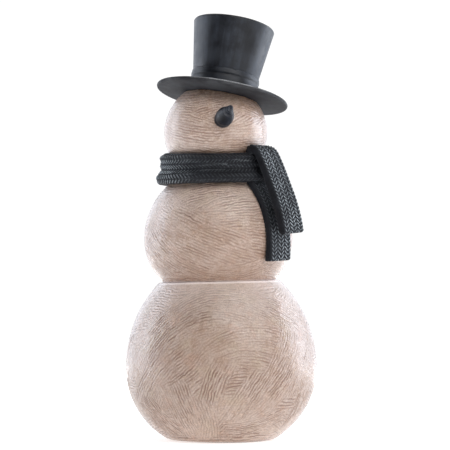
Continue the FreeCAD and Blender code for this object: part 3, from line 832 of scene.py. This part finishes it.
def hat_band():
    """Ribbon round the crown's foot, with one shallow fold in it."""
    knots = [(BAND_FOOT - 0.3, 0.0), (BAND_FOOT, 0.7), (BAND_FOOT - 0.1, 4.0), (BAND_FOOT - 0.3, 7.6),
             (BAND_FOOT - 0.75, 9.3), (BAND_FOOT - 0.45, 10.6), (BAND_TOP + 0.05, 12.4),
             (BAND_TOP - 0.1, 13.4), (BAND_TOP - 0.62, BAND_HEIGHT)]
    inside = [(CROWN_FOOT + CROWN_SLOPE * z + 0.04, z) for z in (BAND_HEIGHT - 0.05, 7.0, 0.0)]
    under = evenly([inside[-1], knots[0]], 1.2)[1:-1]
    band = np.vstack([along(smooth_curve(knots), 0.3), evenly(inside, 1.5), under])

    def band_wear(grid):
        foot = (1 - ramp(grid[..., 2], 0.3, 1.3)) * ramp(noise(grid, 7, 74), -0.5, 0.4)
        lip = ramp(grid[..., 2], 12.6, 13.4) * ramp(noise(grid, 8, 75), -0.2, 0.6)
        return 0.30 * foot + 0.18 * lip

    hat_part("top_hat_band", band, 320, True, "hat_band", BRIM_BELLY + BRIM_THICK, band_wear, 23, 0.14,
             "around")


def nose():
    """Carrot nose with ring notches towards its blunt tip and a soft ridge along it."""
    body = along(smooth_curve([(6.0, 0.2), (6.2, 1.6), (6.4, 4.2), (5.7, 8.0), (4.1, 12.2), (2.8, 16.6),
                               (1.75, 20.2), (1.1, 21.7), (0, 22.3)]), 0.3)
    profile = np.vstack([[(0, -2.0), (6.0, -2.0)], body])
    grid = swung(profile, 110)
    normal = grid_normals(grid)
    height = grid[..., 2]
    angle = np.arctan2(grid[..., 1], grid[..., 0])
    notch = sum(np.exp(-((height - at - 0.35 * np.sin(angle + at)) / 0.42) ** 2) * deep
                for at, deep in NOSE_NOTCHES)
    ridge = 0.22 * np.maximum(0, np.cos(angle - 1.9)) ** 6 * ramp(height, 3, 9)
    lift = ridge - notch + 0.16 * rough(grid, 5, 41) - 0.10
    lift *= ramp(height, -0.5, 1.0) * (1 - 0.6 * ramp(height, 21.0, 22.3))
    grid = grid + normal * lift[..., None]
    streak = 0.5 + 0.5 * rough(np.stack([angle * 5, height * 0.3, 0 * angle], axis=-1), 2.0, 42)
    wear_and_painted_light = 0.35 * np.maximum(0, ridge / 0.22 - 0.35) + 0.15 * ramp(noise(grid, 3.0, 43), 0.15, 0.8)
    placed = upright(turned(grid, bearing_way(NOSE_TURN, NOSE_LIFT), NOSE_ROOT))
    capped("carrot_nose", placed, BLACK_NOSE, "black_painted_wood", ["nose"],
           {"wear_and_painted_light": wear_and_painted_light, "streak": streak})


# ---------------- scarf

def knit(s, w, seed):
    """Height 0..1 of carved chevron stitches: s runs along the scarf and w across it, in mm."""
    column = np.floor(w / HALF_COLUMN)
    inside = w / HALF_COLUMN - column - 0.5
    side = np.where(column % 2 == 0, 1.0, -1.0)
    jitter = 0.35 * noise(np.stack([s, w, 0 * s], axis=-1), 7, seed)
    phase = (s - side * inside * HALF_COLUMN * 0.95 + jitter) / STITCH
    strand = (0.5 + 0.5 * np.cos(2 * math.pi * phase)) ** 0.8
    edge = 1 - np.abs(2 * inside) ** 4
    return strand * np.clip(edge, 0, 1) ** 0.6


def scarf_loop():
    """Loop of soft folds, its knit crisp at the figure's right and back and worn smooth near the tails."""
    folds = [(38.9, 199.2), (41.6, 196.8), (40.7, 194.4), (41.5, 192.0), (40.7, 189.2), (44.2, 184.4),
             (43.6, 180.8), (42.0, 179.3)]
    outer = along(smooth_curve(folds[::-1]), SCARF_SPACING)
    top = (36.2, 199.5)
    rounded_top = along(smooth_curve([folds[0], (37.6, 199.8), top]), 0.4)[1:]
    inner = evenly([top, (LOOP_BORE, 195.5), (LOOP_BORE, 184.0), (36.4, 179.6), (41.0, 178.9)], 1.2)[1:]
    profile = np.vstack([outer, rounded_top, inner[:-1]])
    around = int(2 * math.pi * LOOP_RADIUS / SCARF_SPACING)
    grid = swung(profile, around)
    normal = grid_normals(grid)
    angle = np.degrees(np.linspace(0, 2 * math.pi, around, endpoint=False))[None, :] + 0 * grid[..., 0]
    turn = (angle - FRONT_BEARING + 180) % 360 - 180
    count = len(outer)
    w = np.zeros(len(profile))
    steps = np.linalg.norm(np.diff(outer, axis=0), axis=1)
    w[:count] = np.concatenate([[0], np.cumsum(steps)])
    w[count:] = w[count - 1] + 0.4 * np.arange(1, len(profile) - count + 1)
    w = w[:, None] + 0 * angle
    outside = np.zeros(len(profile))
    outside[:count] = 1
    outside[count:count + 4] = np.linspace(0.8, 0.2, 4)
    outside = outside[:, None] + 0 * angle
    s = np.radians(angle) * LOOP_RADIUS
    crisp = 1.0 - 0.86 * ramp(turn, -62, -18) * (1 - ramp(turn, 75, 120))
    stitch = knit(s, w, 51)
    drag = rough(np.stack([s * 0.12, w, 0 * s], axis=-1), 1.6, 52)
    lift = 0.85 * crisp * (stitch - 0.62) + 0.50 * (1 - crisp) * drag + 0.35 * rough(grid, 15, 53)
    grid = grid + normal * (outside * lift)[..., None]
    radius = np.hypot(grid[..., 0], grid[..., 1])
    drawn_in = 3.2 * np.exp(-((turn - 8) / 44.0) ** 2) * ramp(radius, LOOP_BORE, 41.0)
    grid[..., :2] *= (1 - drawn_in / radius)[..., None]
    unevenness = noise(np.stack([s, 0 * s, 0 * s], axis=-1), 16, 54)
    rise = 1.5 * np.exp(-((turn + 80) / 28.0) ** 2) - 0.7 * np.exp(-(turn / 26.0) ** 2) + 0.5 * unevenness
    share = ramp(grid[..., 2], 186, 199.5)
    sag = 0.9 * np.exp(-((turn + 84) / 22.0) ** 2) - 0.35 * np.exp(-(turn / 30.0) ** 2)
    grid[..., 2] += rise * share + sag * (1 - share) * 0.8
    b = math.radians(TAIL_BEARING)
    grid = grid + np.array([math.sin(b), -math.cos(b), 0]) * LOOP_OFFSET
    crest = np.clip((stitch - 0.55) / 0.4, 0, 1) ** 1.3 * (0.06 + 1.05 * crisp ** 1.4)
    crest = crest + 0.20 * (1 - crisp) * ramp(drag, 0.05, 0.5)
    crest = crest * outside * (0.75 + 0.35 * noise(grid, 8, 55))
    ringed("scarf_loop_knit", upright(grid), CHARCOAL, "charcoal_painted_wood", ["scarf_loop"],
           {"crest": np.clip(crest, 0, 1)})


def slab_faces(nx, ny, nz):
    """Surface lattice of a box: the whole-number points on it, and its quads facing out."""
    index = {}
    order = []

    def at(i, j, k):
        key = (i, j, k)
        if key not in index:
            index[key] = len(order)
            order.append(key)
        return index[key]

    quads = []
    for k in range(nz):
        for i in range(nx):
            quads.append((at(i, 0, k), at(i + 1, 0, k), at(i + 1, 0, k + 1), at(i, 0, k + 1)))
            quads.append((at(i, ny, k), at(i, ny, k + 1), at(i + 1, ny, k + 1), at(i + 1, ny, k)))
        for j in range(ny):
            quads.append((at(0, j, k), at(0, j, k + 1), at(0, j + 1, k + 1), at(0, j + 1, k)))
            quads.append((at(nx, j, k), at(nx, j + 1, k), at(nx, j + 1, k + 1), at(nx, j, k + 1)))
    for i in range(nx):
        for j in range(ny):
            quads.append((at(i, j, 0), at(i, j + 1, 0), at(i + 1, j + 1, 0), at(i + 1, j, 0)))
            quads.append((at(i, j, nz), at(i + 1, j, nz), at(i + 1, j + 1, nz), at(i, j + 1, nz)))
    return np.array(order, float), np.array(quads)


def tail(name, node_name, outer, inner, sideways, round_size, slant, crisp, seed):
    """A hanging tail between two faces, given as (radius, height) knots from the neck down."""
    out_curve = along(smooth_curve(outer), 0.2)
    in_curve = along(smooth_curve(inner), 0.2)
    length = np.linalg.norm(np.diff(out_curve, axis=0), axis=1).sum()
    size = np.array([SCARF_WIDTH, TAIL_THICK, length])
    cells = [int(round(v / SCARF_SPACING)) for v in size]
    lattice, quads = slab_faces(*cells)
    p = lattice / np.array(cells) * size
    core = np.clip(p, round_size, size - round_size)
    away = p - core
    gap = np.linalg.norm(away, axis=1, keepdims=True)
    p = np.where(gap > 1e-6, core + away / np.maximum(gap, 1e-6) * round_size, p)
    x, y, s = p[:, 0], p[:, 1], p[:, 2]
    face = ramp(y, TAIL_THICK * 0.55, TAIL_THICK * 0.9)
    back = 1 - ramp(y, TAIL_THICK * 0.1, TAIL_THICK * 0.45)
    stitch = knit(s, x + 0.3, seed)
    strength = crisp(x, s, length)
    lumps = rough(np.stack([x, y, s], axis=-1), 14, seed + 1)
    margin = ramp(np.minimum(x, SCARF_WIDTH - x), 0.2, 1.4) * ramp(length - s, 0.0, 1.2)
    lift = face * strength * margin * 0.85 * (stitch - 0.55) - back * 0.35 * (stitch - 0.4)
    y = y + lift + 0.12 * lumps
    x = x + 0.25 * noise(np.stack([0 * x, 0 * x, s], axis=-1), 11, seed + 2)
    s = s + slant * (0.5 - x / SCARF_WIDTH) * ramp(s, length - 12, length)
    t = np.clip(s / length, 0, 1)
    over = np.clip(s - length, 0, None)

    def follow(curve):
        share = np.linspace(0, 1, len(curve))
        return np.stack([np.interp(t, share, curve[:, i]) for i in (0, 1)], axis=1)

    fraction = (y / TAIL_THICK)[:, None]
    spot = follow(in_curve) * (1 - fraction) + follow(out_curve) * fraction
    spot[:, 1] -= over
    b = math.radians(TAIL_BEARING)
    out_way, side_way = np.array([math.sin(b), -math.cos(b)]), np.array([math.cos(b), math.sin(b)])
    flat = spot[:, :1] * out_way + (x - SCARF_WIDTH / 2 + sideways)[:, None] * side_way
    points = np.stack([flat[:, 0], flat[:, 1], spot[:, 1]], axis=1)
    near_edge = ramp(x, 0.6, 2.4)
    crest = np.clip((stitch - 0.55) / 0.4, 0, 1) ** 1.3 * face * near_edge * (0.15 + 0.85 * strength)
    crest = crest * (0.8 + 0.35 * noise(points, 7, seed + 3)) + 0.10 * back * stitch
    piece(name, upright(points), quads, [], CHARCOAL, [node_name],
          {"crest": np.clip(crest, 0, 1)})


def scarf():
    """Loop and two tails: the front tail turns over the loop, and the back tail comes out from under it."""
    scarf_loop()
    front_outer = [(35.6, 190.4), (34.4, 197.0), (35.0, 202.0), (38.0, 204.6), (42.6, 203.6), (46.4, 200.2),
                   (50.9, 191.6), (56.0, 179.9), (61.8, 166.2), (65.7, 152.8), (67.4, 142.8)]
    front_inner = [(39.4, 190.4), (39.0, 195.0), (39.3, 197.6), (40.2, 198.9), (41.2, 198.9), (42.6, 197.6),
                   (46.2, 189.6), (50.6, 178.0), (55.9, 164.4), (59.8, 152.0), (61.6, 142.8)]
    back_outer = [(38.6, 184.8), (42.2, 177.4), (47.6, 168.4), (52.4, 157.6), (55.2, 146.8), (55.9, 136.0),
                  (55.2, 124.2)]
    back_inner = [(31.5, 184.8), (36.4, 177.4), (43.0, 168.4), (47.8, 157.6), (50.4, 146.8), (50.8, 136.0),
                  (49.4, 124.2)]
    tail("scarf_front_tail_knit", "scarf_front_tail", front_outer, front_inner, 0.6, 1.9, 1.6,
         lambda x, s, length: 0.66 + 0.30 * ramp(s, 18, 34), 61)
    tail("scarf_back_tail_knit", "scarf_back_tail", back_outer, back_inner, 0.0, 1.7, 0.6,
         lambda x, s, length: 0.35 + 0.65 * ramp(s, length - 30, length - 20), 62)


lower_ball()
middle_ball()
head_ball()
hat_brim()
hat_crown()
hat_band()
nose()
scarf()


# ---------------- floor, camera and lights

# Metres, from the figure's axis and the floor, and the lens in mm.
CAMERA_AWAY = 1.54
CAMERA_EYE = 0.115
CAMERA_LIFT = 0.0011
CAMERA_SHIFT = 0.0014
CAMERA_LENS = 175.0

# Strengths of the world's light and of the floor's glow.
WORLD_FRONT = 0.0
WORLD_BACK = 0.42
WORLD_SEEN = 1.05
NEAR_GLOW = 0.60
FAR_GLOW = 2.9

# Tint of the softboxes behind the figure, and the height that all are aimed at, in metres.
SKY_TINT = (0.92, 1.0, 1.14)
LIGHTS_AIM = 0.15

# Softboxes: name, bearing and lift in degrees, distance, width and height in metres, and power in watts.
LIGHTS = [
    ("key", 27, 31, 1.8, 1.3, 0.9, 12.6),
    ("front_high", 6, 49, 1.9, 1.4, 0.8, 9.3),
    ("right", 103, 6, 1.5, 0.8, 1.6, 20.5),
    ("left", -116, 6, 1.5, 0.8, 1.6, 14.8),
    ("left_back", -155, 6, 1.6, 1.0, 1.5, 6.5),
    ("right_back", 142, 6, 1.6, 1.0, 1.5, 5.3),
]


def floor():
    """Wide pale floor that glows a little close to the figure and again far from it."""
    half = 0.9
    mesh = bpy.data.meshes.new("floor")
    corners = [(-half, -half, 0), (half, -half, 0), (half, half, 0), (-half, half, 0)]
    mesh.from_pydata(corners, [], [(0, 1, 2, 3)])
    obj = linked("floor", mesh)
    material, tree, shader, where = new_material("pale_floor")
    tint = mixed(tree, mapped(tree, cloud(tree, where, 300, 2), 0.4, 0.6), (0.86, 0.86, 0.86, 1),
                 (0.88, 0.88, 0.88, 1))
    tree.links.new(tint, shader.inputs["Base Color"])
    shader.inputs["Roughness"].default_value = 0.9
    shader.inputs["Specular IOR Level"].default_value = 0.1
    shader.inputs["Emission Color"].default_value = (1, 1, 1, 1)
    distance = node(tree, "ShaderNodeVectorMath", {0: where}, operation="LENGTH").outputs["Value"]
    near = mapped(tree, distance, 0.08, 0.60, NEAR_GLOW, 0.0)
    far = mapped(tree, distance, 0.25, 0.85, 0.0, FAR_GLOW)
    tree.links.new(maths(tree, "ADD", near, far), shader.inputs["Emission Strength"])
    mesh.materials.append(material)


def aimed(obj, place, aim):
    """Put a camera or a light at a place, looking at its aim."""
    turn = (aim - place).to_track_quat("-Z", "Y")
    obj.matrix_world = Matrix.Translation(place) @ turn.to_matrix().to_4x4()


def camera():
    """Camera a little to the figure's right, level with its waist, looking slightly up."""
    look = Vector((0, 0, (cad_box[0].z + cad_box[1].z) / 2 + CAMERA_LIFT))
    a = math.radians(FRONT_BEARING)
    right = Vector((math.cos(a), math.sin(a), 0)) * CAMERA_SHIFT
    place = Vector((CAMERA_AWAY * math.sin(a), -CAMERA_AWAY * math.cos(a), CAMERA_EYE)) + right
    data = bpy.data.cameras.new("camera")
    data.lens = CAMERA_LENS
    data.sensor_width = 36
    data.dof.use_dof = False
    obj = linked("camera", data)
    aimed(obj, place, look + right)
    bpy.context.scene.camera = obj


def softbox(name, bearing, lift, away, width, height, power):
    """Area light at a bearing from the front and a lift, aimed at the figure's middle."""
    data = bpy.data.lights.new(name, "AREA")
    data.shape = "RECTANGLE"
    data.size, data.size_y = width, height
    data.energy = power
    data.color = SKY_TINT if abs(bearing) > 90 else (1, 1, 1)
    obj = linked(name, data)
    obj.visible_camera = False
    aim = Vector((0, 0, LIGHTS_AIM))
    aimed(obj, aim + bearing_way(bearing, lift) * away, aim)


def world():
    """White studio: plain white to the camera, brighter behind the figure than in front of it as light."""
    made = bpy.data.worlds.new("studio")
    bpy.context.scene.world = made
    made.use_nodes = True
    tree = made.node_tree
    back = tree.nodes["Background"]
    where = node(tree, "ShaderNodeTexCoord").outputs["Generated"]
    split = node(tree, "ShaderNodeSeparateXYZ", {"Vector": where})
    a = math.radians(FRONT_BEARING)
    ahead = maths(tree, "ADD", maths(tree, "MULTIPLY", split.outputs[0], -math.sin(a)),
                  maths(tree, "MULTIPLY", split.outputs[1], math.cos(a)))
    glow = mapped(tree, ahead, -0.35, 0.55, WORLD_FRONT, WORLD_BACK)
    seen = node(tree, "ShaderNodeLightPath").outputs["Is Camera Ray"]
    level = node(tree, "ShaderNodeMix", {0: seen, 2: glow, 3: WORLD_SEEN}, data_type="FLOAT")
    tree.links.new(level.outputs[0], back.inputs["Strength"])
    back.inputs["Color"].default_value = (1, 1, 1, 1)


floor()
camera()
world()
for light in LIGHTS:
    softbox(*light)

scene = bpy.context.scene
scene.view_settings.view_transform = "Standard"
scene.view_settings.look = "None"
scene.view_settings.exposure = 0.0
scene.view_settings.gamma = 1.0
